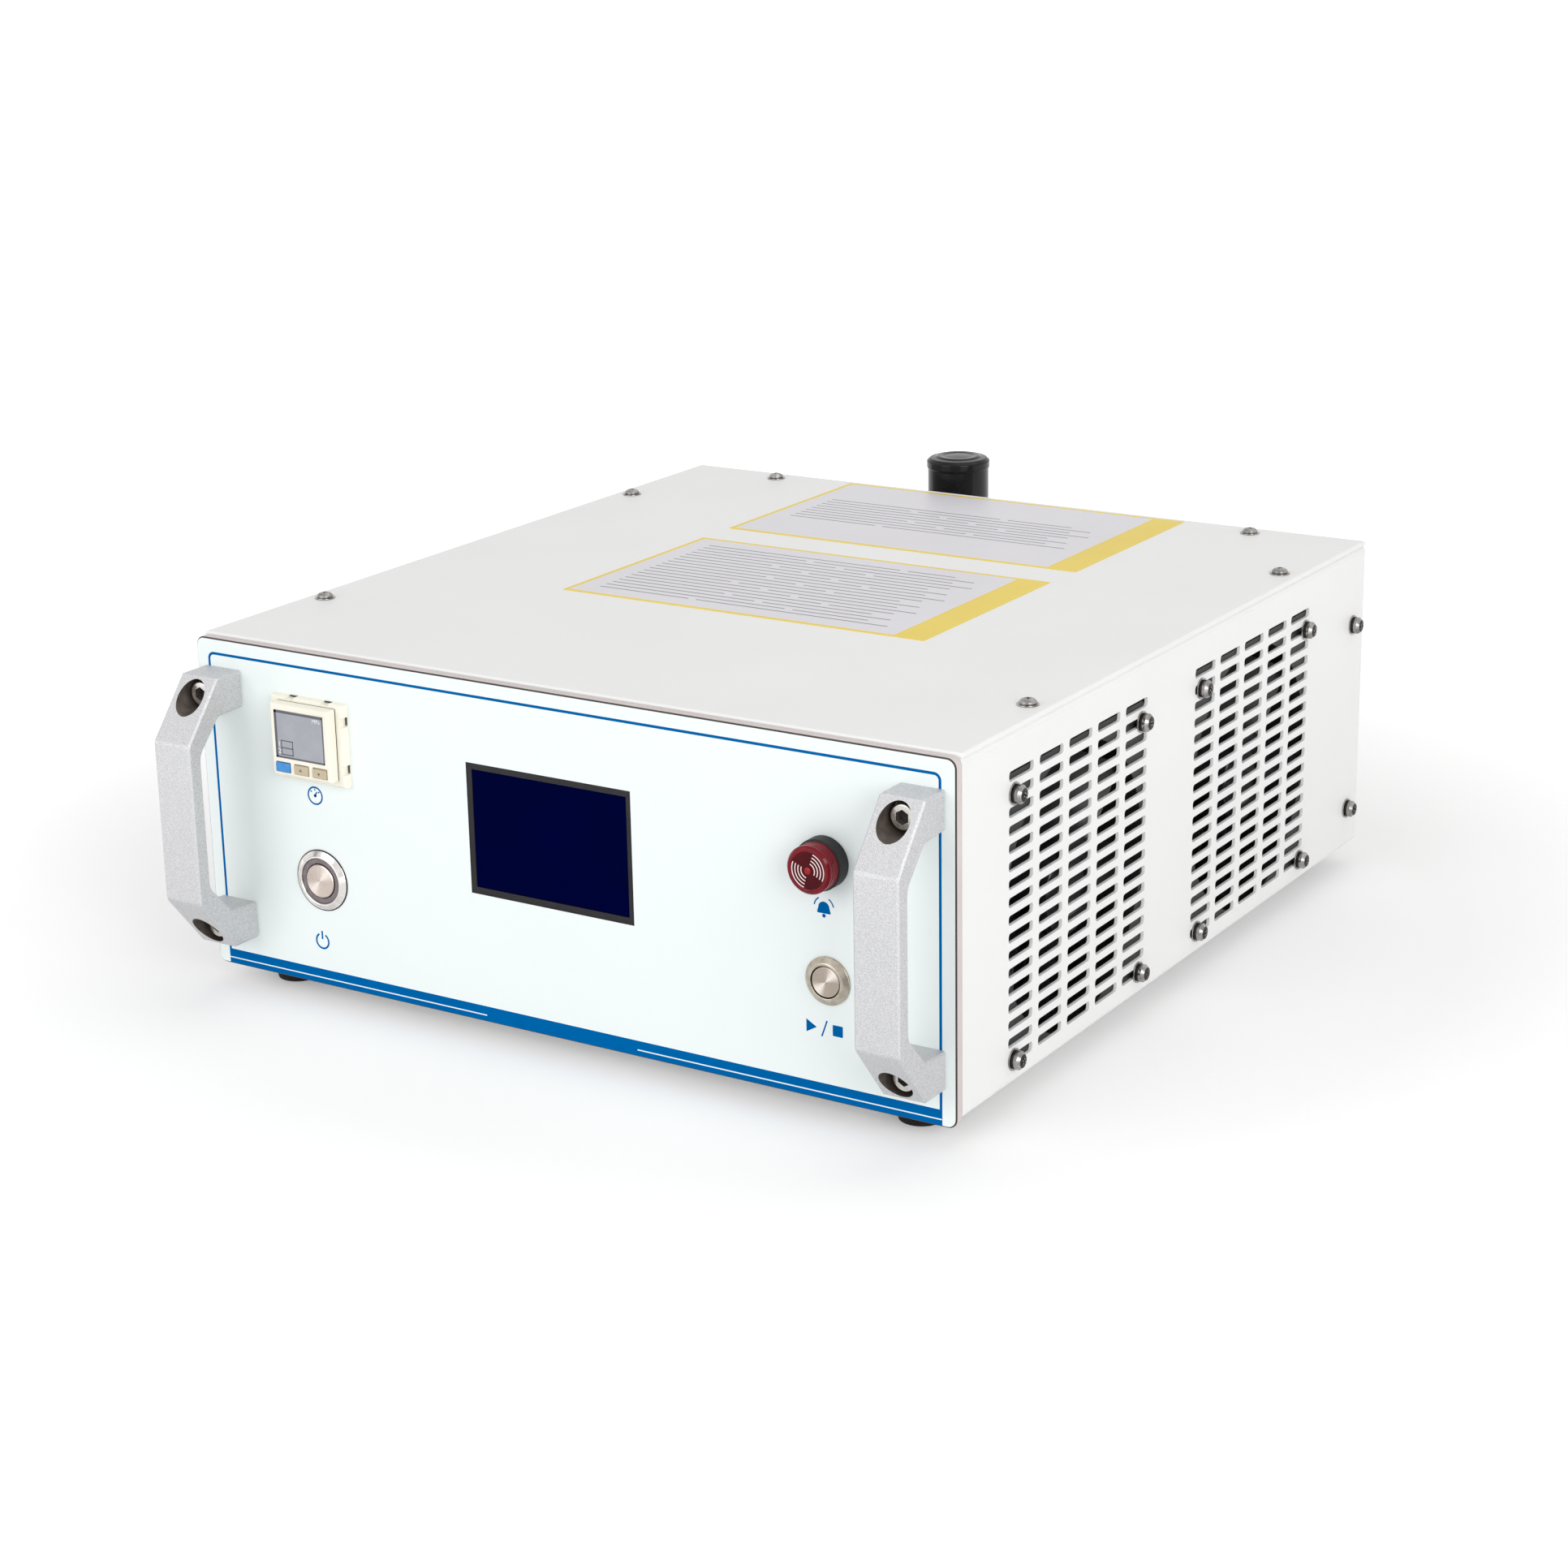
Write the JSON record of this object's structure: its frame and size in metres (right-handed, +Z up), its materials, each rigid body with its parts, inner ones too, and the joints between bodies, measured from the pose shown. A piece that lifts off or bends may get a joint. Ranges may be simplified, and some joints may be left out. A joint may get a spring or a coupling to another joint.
{
  "type": "plasma cleaner power unit",
  "caption": "White sheet metal power unit of a plasma cleaner: front panel with screen, buttons and handles, slotted fan grilles, rear air regulator and sockets.",
  "frame": {"origin": "middle of the footprint of the whole object, on the surface that the feet stand on", "axes": "+Z up, the front panel faces -Y, +X is the right side seen from the front"},
  "size_m": [0.365, 0.4556, 0.1636],
  "materials": {
    "white_enamel": "smooth satin powder coat",
    "plate_edge": "satin powder coat",
    "overlay": "printed film, satin",
    "zinc": "zinc plated",
    "handle_metal": "blasted satin",
    "screw_steel": "nickel plated",
    "rubber": "matt",
    "bezel_metal": "turned satin",
    "ring_dark": "translucent grey",
    "lens_red": "translucent red",
    "black_plastic": "moulded",
    "black_gloss": "gloss",
    "cream_plastic": "moulded",
    "lcd": "grey field",
    "key_blue": "moulded",
    "key_tan": "moulded",
    "screen_frame": "satin",
    "screen_glass": "dark",
    "board": "solder mask",
    "copper": "varnished winding",
    "core_steel": "laminated",
    "fins": "extruded",
    "brass": "plain",
    "fitting": "moulded",
    "cast_body": "cast, painted",
    "bowl": "clear"
  },
  "bodies": {
    "case": {"alarm_base": "black_plastic", "alarm_lens": "lens_red", "base_plate": "white_enamel", "board_standoffs": "brass", "control_board": "board", "cover_screws": "screw_steel", "earth_stud": "brass", "fan_frame_front": "black_plastic", "fan_frame_rear": "black_plastic", "filter_bowl": "bowl", "front_brackets": "zinc", "front_overlay": "overlay", "front_plate": "plate_edge", "gas_outlet": "brass", "gas_valve": "fins", "handle_left": "handle_metal", "handle_right": "handle_metal", "handle_screws": "screw_steel", "heatsink": "fins", "inverter_board": "board", "left_side_panel": "white_enamel", "low_voltage_supply": "zinc", "mains_inlet": "black_plastic", "mains_pins": "brass", "outlet_elbow": "brass", "panel_nuts": "bezel_metal", "panel_screws": "screw_steel", "power_button_body": "bezel_metal", "power_button_ring": "ring_dark", "pressure_display": "lcd", "pressure_switch_body": "cream_plastic", "pressure_switch_frame": "cream_plastic", "rear_brackets": "zinc", "rear_panel": "white_enamel", "regulator_body": "cast_body", "regulator_bracket": "zinc", "regulator_ring_nut": "black_plastic", "remote_socket": "bezel_metal", "right_side_panel": "white_enamel", "rubber_feet": "rubber", "screen_glass": "screen_glass", "screen_module": "screen_frame", "side_flanges": "white_enamel", "start_button_body": "bezel_metal", "top_cover": "white_enamel", "torch_socket": "bezel_metal", "transformer_core": "core_steel", "transformer_winding": "copper"},
    "power_cap": {"power_button_cap": "bezel_metal"},
    "start_cap": {"start_button_cap": "bezel_metal"},
    "key_left": {"pressure_key_left": "key_blue"},
    "key_middle": {"pressure_key_middle": "key_tan"},
    "key_right": {"pressure_key_right": "key_tan"},
    "rotor_front": {"fan_rotor_front": "black_plastic"},
    "rotor_rear": {"fan_rotor_rear": "black_plastic"},
    "fuse_drawer": {"fuse_drawer": "black_plastic"},
    "release_ring": {"gas_release_ring": "fitting"},
    "stem": {"regulator_stem": "zinc"},
    "knob": {"regulator_knob": "black_gloss"},
    "drain_cock": {"drain_cock": "black_plastic"}
  },
  "joints": [
    {"name": "power_button_press", "type": "slide", "parent": "case", "child": "power_cap", "axis": [0, 1, 0], "range_m": [0, 0.003], "stiffness_N_per_m": 900},
    {"name": "start_button_press", "type": "slide", "parent": "case", "child": "start_cap", "axis": [0, 1, 0], "range_m": [0, 0.002], "stiffness_N_per_m": 900},
    {"name": "key_left_press", "type": "slide", "parent": "case", "child": "key_left", "axis": [0, 1, 0], "range_m": [0, 0.0006], "stiffness_N_per_m": 1500},
    {"name": "key_middle_press", "type": "slide", "parent": "case", "child": "key_middle", "axis": [0, 1, 0], "range_m": [0, 0.0006], "stiffness_N_per_m": 1500},
    {"name": "key_right_press", "type": "slide", "parent": "case", "child": "key_right", "axis": [0, 1, 0], "range_m": [0, 0.0006], "stiffness_N_per_m": 1500},
    {"name": "front_fan_spin", "type": "hinge", "parent": "case", "child": "rotor_front", "pos_m": [0.165, -0.0972, 0.0727], "axis": [1, 0, 0], "continuous": true},
    {"name": "rear_fan_spin", "type": "hinge", "parent": "case", "child": "rotor_rear", "pos_m": [0.165, 0.0624, 0.0727], "axis": [1, 0, 0], "continuous": true},
    {"name": "fuse_drawer_pull", "type": "slide", "parent": "case", "child": "fuse_drawer", "axis": [0, 1, 0], "range_m": [0, 0.018]},
    {"name": "gas_ring_press", "type": "slide", "parent": "case", "child": "release_ring", "axis": [0, -1, 0], "range_m": [0, 0.001]},
    {"name": "regulator_turn", "type": "hinge", "parent": "case", "child": "stem", "pos_m": [-0.0455, 0.2073, 0.14], "axis": [0, 0, 1], "range_deg": [-1080, 1080]},
    {"name": "knob_lift", "type": "slide", "parent": "stem", "child": "knob", "axis": [0, 0, 1], "range_m": [0, 0.003]},
    {"name": "drain_turn", "type": "hinge", "parent": "case", "child": "drain_cock", "pos_m": [-0.0455, 0.2073, 0.042], "axis": [0, 0, 1], "range_deg": [0, 90]}
  ]
}
